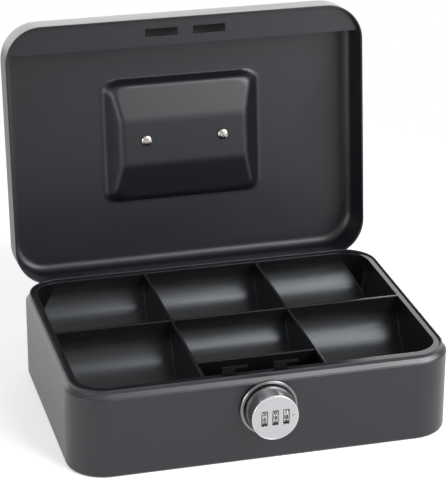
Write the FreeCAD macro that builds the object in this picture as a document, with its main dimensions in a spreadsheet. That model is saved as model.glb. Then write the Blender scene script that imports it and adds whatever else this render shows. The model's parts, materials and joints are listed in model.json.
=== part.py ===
import FreeCAD, Part
import Sketcher
import math
import os
import re

# A small steel cash box with its lid open: X runs along the width, the lock faces -Y, Z is up.
# The origin is the middle of the base's underside.  All sizes are millimetres.

SIZES = {
    # steel case
    "box_width": 250.0,
    "box_depth": 180.0,
    "corner_radius": 25.0,
    "sheet_gauge": 1.0,
    "bottom_radius": 2.5,
    "wall_top": 54.0,
    "neck_inset": 2.8,
    "shoulder_angle": 45.0,
    "neck_height": 2.6,
    # lid
    "lid_gap": 1.5,
    "lid_depth": 27.7,
    "lid_edge_radius": 7.0,
    "open_angle": 96.3,
    # pressed recess for the carrying handle
    "recess_y": -0.5,
    "recess_length": 110.0,
    "recess_floor_length": 89.0,
    "recess_width": 86.0,
    "recess_slope_width": 79.0,
    "recess_floor_width": 30.0,
    "recess_step": 5.5,
    "recess_depth": 11.0,
    "recess_edge_depth": 0.4,
    "recess_bend": 2.5,
    # latch strip across the lid's front
    "strip_rise": 4.3,
    "strip_reach": 18.4,
    "strip_flange": 8.0,
    "strip_flange_length": 190.0,
    "slot_length": 23.0,
    "slot_width": 5.6,
    "slot_pitch": 33.4,
    "slot_setback": 10.4,
    # hinge on the back wall
    "hinge_offset": 2.0,
    "hinge_z": 48.9,
    "knuckle_radius": 1.7,
    "knuckle_gap": 0.4,
    "pin_radius": 0.9,
    "pin_gap": 0.05,
    "leaf_length": 158.0,
    "leaf_gauge": 0.8,
    "base_leaf_drop": 14.0,
    "lid_leaf_rise": 12.0,
    "leaf_relief": 0.5,
    "ear_width": 1.2,
    "ear_reach": 8.0,
    "backing_width": 14.0,
    # carrying handle
    "screw_pitch": 54.6,
    "pivot_y": -2.0,
    "pivot_depth": 4.5,
    "rod_radius": 2.5,
    "handle_half_span": 39.0,
    "handle_reach": 26.0,
    "handle_bend": 7.0,
    "post_width": 8.0,
    "post_depth": 9.0,
    "post_crown": 4.0,
    "screw_radius": 1.9,
    "screw_bite": 3.4,
    "screw_head_radius": 3.5,
    "screw_head_height": 2.3,
    "cross_width": 1.0,
    "cross_arm": 2.1,
    # coin tray
    "tray_drop": 0.8,
    "tray_gap": 0.6,
    "tray_wall": 1.5,
    "tray_flange": 1.5,
    "tray_side_flange": 3.6,
    "tray_front_flange": 4.6,
    "tray_back_flange": 3.2,
    "divider": 1.6,
    "column_pitch": 79.0,
    "row_split": 4.4,
    "pocket_depth": 19.6,
    "clip_width": 16.0,
    "clip_gauge": 1.5,
    "clip_pitch": 100.0,
    "clip_drop": 10.0,
    "clip_leg": 9.0,
    "seat_gap": 0.05,
    # lock set into the front wall
    "lock_z": 37.2,
    "flange_radius": 18.7,
    "flange_thick": 2.0,
    "flange_lip": 1.7,
    "flange_sink": 1.0,
    "seat_radius": 16.6,
    "seat_thick": 0.5,
    "barrel_radius": 12.0,
    "barrel_length": 7.0,
    "washer_radius": 15.5,
    "washer_thick": 1.0,
    "nut_radius": 17.0,
    "nut_thick": 3.6,
    "shaft_radius": 4.0,
    "shaft_gap": 0.1,
    "knob_gap": 0.4,
    "knob_base_radius": 15.9,
    "knob_face_radius": 15.2,
    "knob_length": 14.2,
    "knob_wall": 1.2,
    "knob_bore_radius": 13.6,
    "knob_bevel": 0.5,
    "face_radius": 14.6,
    "face_thick": 1.2,
    "window_width": 4.0,
    "window_height": 10.4,
    "wheel_pitch": 7.05,
    "wheel_width": 3.4,
    "wheel_radius": 6.0,
    "wheel_proud": 0.4,
    "axle_radius": 1.2,
    "axle_gap": 0.05,
    "axle_seat": 0.7,
    "spring_gauge": 0.5,
    "spring_gap": 0.3,
    "spring_stand": 1.6,
    # latch behind the lock
    "slide_setback": 9.6,
    "slide_gauge": 1.6,
    "slide_left": 27.5,
    "slide_right": 15.0,
    "slide_foot": 23.0,
    "slide_head": 50.0,
    "hook_stem": 8.0,
    "hook_toe": 8.0,
    "hook_gauge": 1.4,
    "hook_lift": 0.4,
    "hook_inset": 1.2,
    "knob_throw": 60.0,
    "cam_radius": 9.0,
    "cam_pin_radius": 1.5,
    "cam_gauge": 1.6,
    "cam_gap": 0.8,
    "cam_hub_radius": 6.0,
    "cam_tip_radius": 3.2,
    "tenon_radius": 2.5,
    "cam_screw_radius": 1.5,
    "cam_screw_length": 6.0,
    "cam_head_radius": 3.6,
    "cam_head_height": 2.2,
    "guide_radius": 1.5,
    "guide_z": 27.0,
    "guide_pitch": 24.0,
    "guide_gap": 0.2,
    "case_half_width": 34.0,
    "case_depth": 17.2,
    "case_gauge": 1.2,
    "case_foot": 3.0,
    "case_bottom": 20.0,
    "case_top": 51.0,
    # everyday clearance between pieces that move past each other
    "running_gap": 0.3,
}

KNUCKLES = 7

doc = FreeCAD.newDocument("cash_box")
sheet = doc.addObject("Spreadsheet::Sheet", "sizes")
for row, (alias, number) in enumerate(SIZES.items(), start=1):
    cell = "B%d" % row
    sheet.set("A%d" % row, alias.replace("_", " "))
    sheet.set(cell, str(number))
    sheet.setAlias(cell, alias)
doc.recompute()

nodes = []

ALONG_X = FreeCAD.Rotation(FreeCAD.Vector(0, 1, 0), 90)
ALONG_Y = FreeCAD.Rotation(FreeCAD.Vector(1, 0, 0), -90)
UPRIGHT = FreeCAD.Rotation()


# Expressions and binding

def linked(text):
    """An expression in which every size name points at its cell."""
    def cell_name(match):
        word = match.group()
        return "sizes." + word if word in SIZES else word
    return re.sub(r"[A-Za-z_]\w*", cell_name, text)


def value(text):
    """The number an expression comes to with the sizes as they stand."""
    return float(sheet.evalExpression(linked(text)))


def bind(item, **expressions):
    for name, text in expressions.items():
        item.setExpression(name, linked(text))


def place(item, x, y, z):
    item.setExpression("Placement.Base.x", linked(x))
    item.setExpression("Placement.Base.y", linked(y))
    item.setExpression("Placement.Base.z", linked(z))


def node(item, name):
    """Give a finished piece the name of its node."""
    item.Label = name
    nodes.append(item)
    return item


# Solid primitives and booleans

def block(name, x, y, z):
    """A box between three pairs of limits."""
    item = doc.addObject("Part::Box", name)
    bind(item, Length="%s - (%s)" % (x[1], x[0]), Width="%s - (%s)" % (y[1], y[0]),
         Height="%s - (%s)" % (z[1], z[0]))
    place(item, x[0], y[0], z[0])
    return item


def rod(name, turn, radius, length, x, y, z):
    """A round bar that starts at a point and runs along one axis."""
    item = doc.addObject("Part::Cylinder", name)
    item.Placement = FreeCAD.Placement(FreeCAD.Vector(), turn)
    bind(item, Radius=radius, Height=length)
    place(item, x, y, z)
    return item


def joined(name, items):
    item = doc.addObject("Part::MultiFuse", name)
    item.Shapes = items
    item.Refine = True
    return item


def grouped(name, items):
    item = doc.addObject("Part::Compound", name)
    item.Links = items
    return item


def shared(name, items):
    item = doc.addObject("Part::MultiCommon", name)
    item.Shapes = items
    return item


def cut_from(name, base, tools):
    tool = tools[0]
    if len(tools) > 1:
        tool = joined(name + "_tools", tools)
    item = doc.addObject("Part::Cut", name)
    item.Base = base
    item.Tool = tool
    item.Refine = True
    return item


# Sketches and the features made from them

def new_sketch(body, name, role, offset="0"):
    """A sketch on one of the body's origin planes, moved along that plane's normal."""
    sketch = body.newObject("Sketcher::SketchObject", name)
    support = [item for item in body.Origin.OriginFeatures if item.Role == role][0]
    sketch.AttachmentSupport = [(support, "")]
    sketch.MapMode = "FlatFace"
    sketch.setExpression("AttachmentOffset.Base.z", linked(offset))
    return sketch


def drive(sketch, constraint, text):
    number = sketch.addConstraint(constraint)
    sketch.setExpression("Constraints[%d]" % number, linked(text))


def draw_polygon(sketch, points):
    """A closed outline whose corners are held at pairs of expressions."""
    corners = [FreeCAD.Vector(value(x), value(y), 0) for x, y in points]
    count = len(corners)
    for i in range(count):
        sketch.addGeometry(Part.LineSegment(corners[i], corners[(i + 1) % count]), False)
    for i in range(count):
        sketch.addConstraint(Sketcher.Constraint("Coincident", i, 2, (i + 1) % count, 1))
    for i, (x, y) in enumerate(points):
        drive(sketch, Sketcher.Constraint("DistanceX", -1, 1, i, 1, corners[i].x), x)
        drive(sketch, Sketcher.Constraint("DistanceY", -1, 1, i, 1, corners[i].y), y)


def draw_rounded_rectangle(sketch, width, depth, radius, y="0"):
    """Four sides and four corner arcs around a middle on the sketch's Y axis."""
    half_width = value(width) / 2
    half_depth = value(depth) / 2
    bend = value(radius)
    middle = value(y)
    quarter = math.pi / 2
    corner_signs = [(1, -1), (1, 1), (-1, 1), (-1, -1)]
    turns = [3, 0, 1, 2]
    sides = [
        ((-half_width + bend, -half_depth), (half_width - bend, -half_depth)),
        ((half_width, -half_depth + bend), (half_width, half_depth - bend)),
        ((half_width - bend, half_depth), (-half_width + bend, half_depth)),
        ((-half_width, half_depth - bend), (-half_width, -half_depth + bend)),
    ]
    lift = FreeCAD.Vector(0, middle, 0)
    for (start, end), (sx, sy), turn in zip(sides, corner_signs, turns):
        line = Part.LineSegment(FreeCAD.Vector(*start, 0) + lift, FreeCAD.Vector(*end, 0) + lift)
        sketch.addGeometry(line)
        centre = FreeCAD.Vector(sx * (half_width - bend), sy * (half_depth - bend), 0) + lift
        circle = Part.Circle(centre, FreeCAD.Vector(0, 0, 1), bend)
        sketch.addGeometry(Part.ArcOfCircle(circle, turn * quarter, (turn + 1) * quarter))
    front, right, back, left = 0, 2, 4, 6
    for side in (front, right, back, left):
        arc = side + 1
        sketch.addConstraint(Sketcher.Constraint("Tangent", side, 2, arc, 1))
        sketch.addConstraint(Sketcher.Constraint("Tangent", arc, 2, (side + 2) % 8, 1))
    sketch.addConstraint(Sketcher.Constraint("Horizontal", front))
    sketch.addConstraint(Sketcher.Constraint("Vertical", right))
    for arc in (3, 5, 7):
        sketch.addConstraint(Sketcher.Constraint("Equal", 1, arc))
    drive(sketch, Sketcher.Constraint("Radius", 1, bend), radius)
    drive(sketch, Sketcher.Constraint("DistanceX", -1, 1, right, 1, half_width), "(%s) / 2" % width)
    drive(sketch, Sketcher.Constraint("DistanceX", left, 1, -1, 1, half_width), "(%s) / 2" % width)
    drive(sketch, Sketcher.Constraint("DistanceY", -1, 1, front, 1, middle - half_depth),
          "(%s) - (%s) / 2" % (y, depth))
    drive(sketch, Sketcher.Constraint("DistanceY", -1, 1, back, 1, middle + half_depth),
          "(%s) + (%s) / 2" % (y, depth))


def pad(body, name, sketch, length):
    feature = body.newObject("PartDesign::Pad", name)
    feature.Profile = sketch
    bind(feature, Length=length)
    doc.recompute()
    return feature


def dress_edges(body, kind, name, base, size, chosen):
    """Round or bevel the edges of the last feature that a test picks out."""
    names = ["Edge%d" % (i + 1) for i, edge in enumerate(base.Shape.Edges) if chosen(edge)]
    feature = body.newObject("PartDesign::" + kind, name)
    feature.Base = (base, names)
    if kind == "Fillet":
        bind(feature, Radius=size)
    else:
        bind(feature, Size=size)
    doc.recompute()
    return feature


def lies_at(level):
    """A test for edges that lie flat at one height."""
    height = value(level)

    def test(edge):
        return abs(edge.BoundBox.ZMin - height) < 1e-4 and abs(edge.BoundBox.ZMax - height) < 1e-4
    return test


def rounded_prism(name, width, depth, radius, z, height, y="0"):
    """An upright block with rounded corners, as a body of its own."""
    body = doc.addObject("PartDesign::Body", name)
    outline = new_sketch(body, name + "_outline", "XY_Plane", z)
    draw_rounded_rectangle(outline, width, depth, radius, y)
    pad(body, name + "_pad", outline, height)
    return body


def turned(name, profile):
    """A piece turned about the lock's axis from corners given as distance along Y and radius."""
    body = doc.addObject("PartDesign::Body", name)
    sketch = new_sketch(body, name + "_profile", "YZ_Plane")
    draw_polygon(sketch, profile)
    feature = body.newObject("PartDesign::Revolution", name + "_turned")
    feature.Profile = sketch
    feature.ReferenceAxis = (sketch, ["H_Axis"])
    feature.Angle = 360
    place(body, "0", "0", "lock_z")
    doc.recompute()
    return body


# Names and places that several pieces share

def side_names():
    """The two sides with the sign of X on each."""
    return (("left", "-1"), ("right", "1"))


def window_names():
    """The three number windows with their places in units of the wheel pitch."""
    return (("left", "-1"), ("middle", "0"), ("right", "1"))


def mirrored(side, low, high):
    """Limits along X for a piece drawn on the right, or its image on the left."""
    return (low, high) if side == "right" else ("-" + high, "-" + low)


FRONT = "(-box_depth / 2)"
BACK = "(box_depth / 2)"
FRONT_INSIDE = "(-box_depth / 2 + sheet_gauge)"
SHOULDER_TOP = "(wall_top + neck_inset)"
NECK_TOP = "(wall_top + neck_inset + neck_height)"
LID_RIM = "(wall_top + lid_gap)"
LID_TOP = "(wall_top + lid_gap + lid_depth)"
HINGE_Y = "(box_depth / 2 + hinge_offset)"
STRIP_LOW = "(wall_top + lid_gap + strip_rise)"
STRIP_HIGH = "(wall_top + lid_gap + strip_rise + sheet_gauge)"
SLOT_Y = "(-box_depth / 2 + slot_setback)"
PIVOT_Z = "(wall_top + lid_gap + lid_depth - pivot_depth)"
RECESS_Z = "(wall_top + lid_gap + lid_depth - recess_depth)"
TRAY_TOP = "(wall_top + neck_inset + neck_height - tray_drop)"
KNOB_BACK = "(-box_depth / 2 - seat_thick - flange_thick + flange_sink - knob_gap)"
KNOB_FRONT = "(-box_depth / 2 - seat_thick - flange_thick + flange_sink - knob_gap - knob_length)"
WHEEL_Y = "(-box_depth / 2 - seat_thick - flange_thick + flange_sink - knob_gap - knob_length" \
          " - wheel_proud + wheel_radius)"
SLIDE_Y = "(-box_depth / 2 + slide_setback)"
CAM_Y = "(-box_depth / 2 + slide_setback + slide_gauge + cam_gap)"
THROW = "(2 * cam_radius * sin(knob_throw / 2))"


def swing_open(item):
    """Stand a lid piece, drawn shut, at the lid's open angle about the hinge pin."""
    turn = FreeCAD.Rotation(FreeCAD.Vector(-1, 0, 0), value("open_angle"))
    item.Placement = FreeCAD.Placement(FreeCAD.Vector(), turn)
    item.setExpression("Placement.Rotation.Angle", linked("open_angle"))
    place(item, "0",
          "%s - (%s * cos(open_angle) + hinge_z * sin(open_angle))" % (HINGE_Y, HINGE_Y),
          "hinge_z - (hinge_z * cos(open_angle) - %s * sin(open_angle))" % HINGE_Y)


# Base shell: drawn steel with a sloped shoulder and an upright neck

def case_solid(name, inset, floor, drop, crown):
    """The base as a full solid, drawn in from its outside by an inset."""
    width = "box_width - 2 * %s" % inset
    depth = "box_depth - 2 * %s" % inset
    radius = "corner_radius - %s" % inset
    ledge = "(%s - %s)" % (SHOULDER_TOP, drop)
    body = doc.addObject("PartDesign::Body", name)
    outline = new_sketch(body, name + "_outline", "XY_Plane", floor)
    draw_rounded_rectangle(outline, width, depth, radius)
    walls = pad(body, name + "_walls", outline, "%s - (%s)" % (ledge, floor))
    bend = dress_edges(body, "Fillet", name + "_bend", walls, "bottom_radius - %s" % inset,
                       lies_at(floor))
    dress_edges(body, "Chamfer", name + "_shoulder", bend, "neck_inset", lies_at(ledge))
    neck = new_sketch(body, name + "_neck_outline", "XY_Plane", ledge)
    draw_rounded_rectangle(neck, width + " - 2 * neck_inset", depth + " - 2 * neck_inset",
                           radius + " - neck_inset")
    pad(body, name + "_neck", neck, "%s - %s" % (crown, ledge))
    return body


def make_base_shell():
    outside = case_solid("case_outside", "0", "0", "0", NECK_TOP)
    slope_shift = "sheet_gauge * tan(shoulder_angle / 2)"
    inside = case_solid("case_inside", "sheet_gauge", "sheet_gauge", slope_shift,
                        "(%s + sheet_gauge)" % NECK_TOP)
    lock_hole = rod("lock_hole", ALONG_Y, "barrel_radius", "3 * sheet_gauge", "0",
                    "%s - sheet_gauge" % FRONT, "lock_z")
    node(cut_from("base_shell", outside, [inside, lock_hole]), "base_shell")


# Lid shell: drawn steel, its top edges rounded, with the handle recess pressed into it

def recess_section(body, name, x, inset, full):
    """One cross-section of the recess; the end sections are only a shallow trace of it."""
    half_width = "(recess_width / 2 + %s)" % inset
    slope_half = "(recess_slope_width / 2 + %s)" % inset
    floor_half = "(recess_floor_width / 2 + %s)" % inset
    step = "recess_step" if full else "recess_edge_depth"
    depth = "recess_depth" if full else "recess_edge_depth"
    top = LID_TOP if inset == "0" else "(%s - sheet_gauge / 2)" % LID_TOP
    lower = "0" if inset == "0" else "sheet_gauge"
    section = new_sketch(body, name, "YZ_Plane", x)
    draw_polygon(section, [
        ("recess_y - %s" % half_width, top),
        ("recess_y - %s" % slope_half, "%s - %s - %s" % (LID_TOP, step, lower)),
        ("recess_y - %s" % floor_half, "%s - %s - %s" % (LID_TOP, depth, lower)),
        ("recess_y + %s" % floor_half, "%s - %s - %s" % (LID_TOP, depth, lower)),
        ("recess_y + %s" % slope_half, "%s - %s - %s" % (LID_TOP, step, lower)),
        ("recess_y + %s" % half_width, top),
    ])
    return section


def recess_solid(name, inset):
    """The recess as a solid; its floor is three flats, its ends slope up to the lid's top."""
    body = doc.addObject("PartDesign::Body", name)
    end = "(recess_length / 2 + %s)" % inset
    crest = "(recess_floor_length / 2 + %s)" % inset
    sections = [
        recess_section(body, name + "_right_end", end, inset, False),
        recess_section(body, name + "_right_crest", crest, inset, True),
        recess_section(body, name + "_left_crest", "-" + crest, inset, True),
        recess_section(body, name + "_left_end", "-" + end, inset, False),
    ]
    feature = body.newObject("PartDesign::AdditiveLoft", name + "_loft")
    feature.Profile = sections[0]
    feature.Sections = sections[1:]
    feature.Ruled = True
    doc.recompute()
    shortest = value("recess_floor_length / 2")
    highest = value("%s - sheet_gauge" % LID_TOP)
    dress_edges(body, "Fillet", name + "_soft", feature, "recess_bend + %s" % inset,
                lambda edge: edge.BoundBox.XLength > shortest and edge.BoundBox.ZMax < highest)
    return body


def lid_solid(name, inset):
    """The lid as a full solid, drawn in from its outside by an inset."""
    body = doc.addObject("PartDesign::Body", name)
    outline = new_sketch(body, name + "_outline", "XY_Plane", "%s - %s" % (LID_RIM, inset))
    draw_rounded_rectangle(outline, "box_width - 2 * %s" % inset, "box_depth - 2 * %s" % inset,
                           "corner_radius - %s" % inset)
    cover = pad(body, name + "_cover", outline, "lid_depth")
    dress_edges(body, "Fillet", name + "_bend", cover, "lid_edge_radius - %s" % inset,
                lies_at("%s - %s" % (LID_TOP, inset)))
    return body


def make_lid_shell():
    outside = lid_solid("lid_outside", "0")
    skin = cut_from("lid_skin", outside, [lid_solid("lid_inside", "sheet_gauge")])
    pressed = joined("lid_pressed", [skin, recess_solid("recess_outside", "sheet_gauge")])
    hollows = [recess_solid("recess_inside", "0")]
    for side, sign in side_names():
        hollows.append(rod("lid_screw_hole_" + side, UPRIGHT, "screw_radius", "3 * sheet_gauge",
                           "%s * screw_pitch / 2" % sign, "pivot_y", RECESS_Z + " - 2 * sheet_gauge"))
    swing_open(node(cut_from("lid_shell", pressed, hollows), "lid_shell"))


# Latch strip: a flat plate with two slots that follows the lid's rounded front, with a flange to fix it

def make_latch_strip():
    plate = rounded_prism("strip_plate", "box_width - 2 * sheet_gauge", "box_depth - 2 * sheet_gauge",
                          "corner_radius - sheet_gauge", STRIP_LOW, "sheet_gauge")
    reach = block("strip_reach_box", ("-box_width", "box_width"),
                  ("-box_depth", FRONT_INSIDE + " + strip_reach"), ("0", "2 * " + STRIP_HIGH))
    front_plate = shared("strip_front", [plate, reach])
    flange = block("strip_flange_box", ("-strip_flange_length / 2", "strip_flange_length / 2"),
                   (FRONT_INSIDE, FRONT_INSIDE + " + sheet_gauge"),
                   (STRIP_LOW, STRIP_HIGH + " + strip_flange"))
    slots = []
    for side, sign in side_names():
        middle = "(%s * slot_pitch / 2)" % sign
        slots.append(block("strip_slot_" + side,
                           (middle + " - slot_length / 2", middle + " + slot_length / 2"),
                           (SLOT_Y + " - slot_width / 2", SLOT_Y + " + slot_width / 2"),
                           (STRIP_LOW + " - sheet_gauge", STRIP_HIGH + " + sheet_gauge")))
    strip = cut_from("lid_latch_strip", joined("strip_bent", [front_plate, flange]), slots)
    swing_open(node(strip, "lid_latch_strip"))


# Hinge: two leaves of alternating knuckles on one pin, outside the back wall

def knuckle_limits(index):
    """Where one knuckle of the row starts and ends along X."""
    pitch = "(leaf_length / %d)" % KNUCKLES
    start = "(-leaf_length / 2 + %d * %s + knuckle_gap / 2)" % (index, pitch)
    end = "(-leaf_length / 2 + %d * %s - knuckle_gap / 2)" % (index + 1, pitch)
    return start, end


def knuckle(name, limits, leaf_y, toward):
    """A round knuckle and the tab that joins it to a leaf above or below."""
    start, end = limits
    barrel = rod(name + "_barrel", ALONG_X, "knuckle_radius", "%s - %s" % (end, start), start, HINGE_Y,
                 "hinge_z")
    reach = "(knuckle_radius + 2 * leaf_relief)"
    heights = ("hinge_z", "hinge_z + " + reach) if toward == "up" else ("hinge_z - " + reach, "hinge_z")
    tab = block(name + "_tab", (start, end), (leaf_y, leaf_y + " + leaf_gauge"), heights)
    return [barrel, tab]


def pin_hole(name):
    return rod(name, ALONG_X, "pin_radius + pin_gap", "2 * leaf_length", "-leaf_length", HINGE_Y,
               "hinge_z")


def make_base_leaf():
    plate = block("base_leaf_plate", ("-leaf_length / 2", "leaf_length / 2"),
                  (BACK, BACK + " + leaf_gauge"),
                  ("hinge_z - base_leaf_drop", "hinge_z - knuckle_radius - leaf_relief"))
    pieces = [plate]
    for index in range(0, KNUCKLES, 2):
        pieces += knuckle("base_knuckle_%d" % index, knuckle_limits(index), BACK, "down")
    solid = joined("base_leaf_joined", pieces)
    node(cut_from("base_hinge_leaf", solid, [pin_hole("base_leaf_hole")]), "base_hinge_leaf")


def make_lid_leaf():
    plane = "(%s + running_gap)" % BACK
    half = "(leaf_length / 2 + knuckle_gap + ear_width)"
    plate = block("lid_leaf_plate", ("-" + half, half), (plane, plane + " + leaf_gauge"),
                  ("hinge_z + knuckle_radius + leaf_relief", LID_RIM + " + lid_leaf_rise"))
    seat = block("lid_leaf_seat", ("-" + half, half), (BACK, plane + " + leaf_gauge"),
                 (LID_RIM + " + running_gap", LID_RIM + " + lid_leaf_rise"))
    pieces = [plate, seat]
    for index in range(1, KNUCKLES, 2):
        pieces += knuckle("lid_knuckle_%d" % index, knuckle_limits(index), plane, "up")
    ear_starts = (("left", "-" + half), ("right", "(leaf_length / 2 + knuckle_gap)"))
    for side, start in ear_starts:
        pieces += knuckle("lid_ear_" + side, (start, start + " + ear_width"), plane, "up")
        arm = doc.addObject("Part::Box", "lid_stop_" + side)
        turn = FreeCAD.Rotation(FreeCAD.Vector(1, 0, 0), value("open_angle - 90"))
        arm.Placement = FreeCAD.Placement(FreeCAD.Vector(), turn)
        arm.setExpression("Placement.Rotation.Angle", linked("open_angle - 90"))
        bind(arm, Length="ear_width", Width="ear_reach", Height="2 * knuckle_radius")
        place(arm, start, "%s + knuckle_radius * sin(open_angle - 90)" % HINGE_Y,
              "hinge_z - knuckle_radius * cos(open_angle - 90)")
        pieces.append(arm)
    solid = joined("lid_leaf_joined", pieces)
    swing_open(node(cut_from("lid_hinge_leaf", solid, [pin_hole("lid_leaf_hole")]), "lid_hinge_leaf"))


def make_hinge_pin():
    half = "(leaf_length / 2 + 2 * knuckle_gap + ear_width)"
    pin = rod("hinge_pin", ALONG_X, "pin_radius", "2 * " + half, "-" + half, HINGE_Y, "hinge_z")
    node(pin, "hinge_pin")


def make_backing_strip():
    inside = "(%s - sheet_gauge)" % BACK
    strip = block("backing_plate", ("-leaf_length / 2", "leaf_length / 2"),
                  (inside + " - leaf_gauge", inside),
                  (LID_RIM + " + running_gap", LID_RIM + " + backing_width"))
    swing_open(node(grouped("lid_hinge_backing", [strip]), "lid_hinge_backing"))


# Carrying handle: a bent bar in two posts that are screwed down from inside the lid

def make_handle_posts():
    posts = []
    for side, sign in side_names():
        middle = "(%s * screw_pitch / 2)" % sign
        stand = block("post_stand_" + side, (middle + " - post_width / 2", middle + " + post_width / 2"),
                      ("pivot_y - post_depth / 2", "pivot_y + post_depth / 2"), (RECESS_Z, PIVOT_Z))
        crown = rod("post_crown_" + side, ALONG_X, "post_crown", "post_width",
                    middle + " - post_width / 2", "pivot_y", PIVOT_Z)
        bore = rod("post_bore_" + side, ALONG_X, "rod_radius + pin_gap", "2 * post_width",
                   middle + " - post_width", "pivot_y", PIVOT_Z)
        thread = rod("post_thread_" + side, UPRIGHT, "screw_radius", "screw_bite + sheet_gauge", middle,
                     "pivot_y", RECESS_Z + " - sheet_gauge")
        solid = joined("post_solid_" + side, [stand, crown])
        posts.append(cut_from("handle_post_" + side, solid, [bore, thread]))
    swing_open(node(grouped("handle_posts", posts), "handle_posts"))


def make_handle_screws():
    screws = []
    for side, sign in side_names():
        middle = "(%s * screw_pitch / 2)" % sign
        under = "(%s - sheet_gauge)" % RECESS_Z
        shank = rod("screw_shank_" + side, UPRIGHT, "screw_radius", "screw_bite + sheet_gauge", middle,
                    "pivot_y", under)
        head = rod("screw_head_" + side, UPRIGHT, "screw_head_radius", "screw_head_height", middle,
                   "pivot_y", under + " - screw_head_height")
        face = under + " - screw_head_height"
        heights = (face + " - cross_width", face + " + cross_width")
        bar_y = block("screw_cross_a_" + side,
                      (middle + " - cross_width / 2", middle + " + cross_width / 2"),
                      ("pivot_y - cross_arm", "pivot_y + cross_arm"), heights)
        bar_x = block("screw_cross_b_" + side, (middle + " - cross_arm", middle + " + cross_arm"),
                      ("pivot_y - cross_width / 2", "pivot_y + cross_width / 2"), heights)
        solid = joined("screw_solid_" + side, [shank, head])
        screws.append(cut_from("handle_screw_" + side, solid, [bar_y, bar_x]))
    swing_open(node(grouped("handle_screws", screws), "handle_screws"))


def make_carry_handle():
    """Drawn hanging from its pivot axis, then moved to the posts of the open lid."""
    bend = "handle_bend"
    span = "handle_half_span"
    pieces = [rod("handle_grip", ALONG_X, "rod_radius", "2 * (%s - %s)" % (span, bend),
                  "%s - %s" % (bend, span), "0", "-handle_reach")]
    corner_turns = {("low", "right"): 0, ("low", "left"): 90, ("high", "left"): 180, ("high", "right"): 270}
    flat = FreeCAD.Rotation(FreeCAD.Vector(1, 0, 0), -90)
    for side, sign in side_names():
        outer = "(%s * %s)" % (sign, span)
        pieces.append(rod("handle_leg_" + side, UPRIGHT, "rod_radius", "handle_reach - 2 * " + bend,
                          outer, "0", bend + " - handle_reach"))
        inner_end = "(screw_pitch / 2 - post_width / 2)"
        start = "-%s + %s" % (span, bend) if side == "left" else inner_end
        pieces.append(rod("handle_pivot_" + side, ALONG_X, "rod_radius",
                          "%s - %s - %s" % (span, bend, inner_end), start, "0", "0"))
        for level, z in (("low", bend + " - handle_reach"), ("high", "-" + bend)):
            corner = doc.addObject("Part::Torus", "handle_bend_%s_%s" % (side, level))
            quarter = FreeCAD.Rotation(FreeCAD.Vector(0, 0, 1), corner_turns[level, side])
            corner.Placement = FreeCAD.Placement(FreeCAD.Vector(), flat.multiply(quarter))
            bind(corner, Radius1=bend, Radius2="rod_radius")
            corner.Angle3 = 90
            place(corner, "%s * (%s - %s)" % (sign, span, bend), "0", z)
            pieces.append(corner)
    handle = joined("carry_handle", pieces)
    away = "(pivot_y - %s)" % HINGE_Y
    above = "(%s - hinge_z)" % PIVOT_Z
    place(handle, "0", "%s + %s * cos(open_angle) + %s * sin(open_angle)" % (HINGE_Y, away, above),
          "hinge_z - %s * sin(open_angle) + %s * cos(open_angle)" % (away, above))
    node(handle, "carry_handle")


# Coin tray: six round-bottomed compartments in two rows, with a gap at the front for the latch

def tray_limits():
    half = "(box_width / 2 - neck_inset - sheet_gauge - tray_gap)"
    side = "(%s - tray_side_flange)" % half
    front = "(-(box_depth / 2 - neck_inset - sheet_gauge - tray_gap) + tray_front_flange)"
    back = "(box_depth / 2 - neck_inset - sheet_gauge - tray_gap - tray_back_flange)"
    return side, front, back


def trough(name, x, y, grow):
    """A round bar along X whose lower half fills a compartment, made larger by a wall."""
    radius = "((%s - (%s)) / 2 + %s)" % (y[1], y[0], grow)
    return rod(name, ALONG_X, radius, "%s - (%s)" % (x[1], x[0]), x[0],
               "(%s + %s) / 2" % (y[0], y[1]), TRAY_TOP)


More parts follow.
